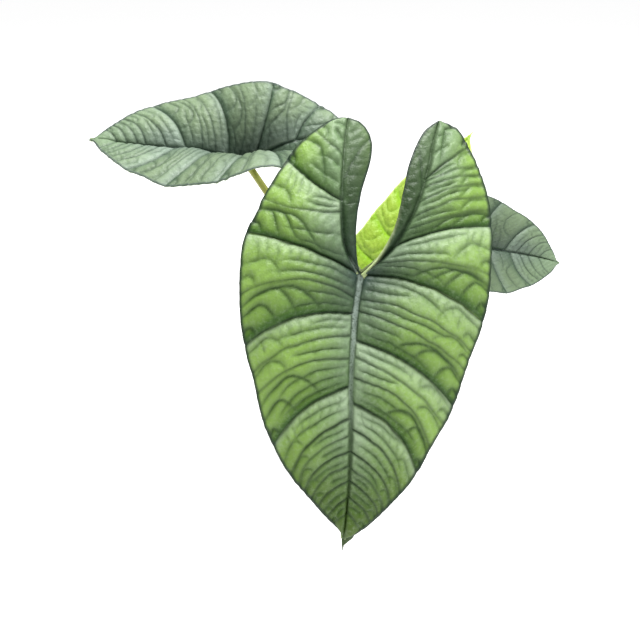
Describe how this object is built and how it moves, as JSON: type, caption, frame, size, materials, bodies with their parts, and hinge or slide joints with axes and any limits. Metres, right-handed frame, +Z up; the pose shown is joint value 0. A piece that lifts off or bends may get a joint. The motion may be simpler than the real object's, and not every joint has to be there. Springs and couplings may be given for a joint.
{
  "type": "potted alocasia platinum",
  "caption": "Potted aroid house plant: silvery quilted arrow-shaped leaves and a lime young leaf on arching stalks, rising from a corm in a tapered nursery pot.",
  "frame": {"origin": "centre of the pot's base, on the surface it stands on", "axes": "+Z up, +X to the viewer's right when the largest leaf faces the viewer, -Y toward that viewer"},
  "size_m": [0.5123, 0.3339, 0.3958],
  "materials": {
    "pot": "matte charcoal",
    "soil": "damp chunky potting mix",
    "corm": "fibrous",
    "petiole": "smooth, waxy",
    "leaf_mature": "leathery, soft sheen",
    "leaf_young": "thin, glossy"
  },
  "bodies": {
    "root": {"pot": "pot", "soil": "soil", "corm": "corm", "leaf_front": "leaf_mature", "petiole_front": "petiole", "leaf_left": "leaf_mature", "petiole_left": "petiole", "leaf_right": "leaf_mature", "petiole_right": "petiole", "leaf_young": "leaf_young", "petiole_young": "petiole"}
  },
  "joints": []
}
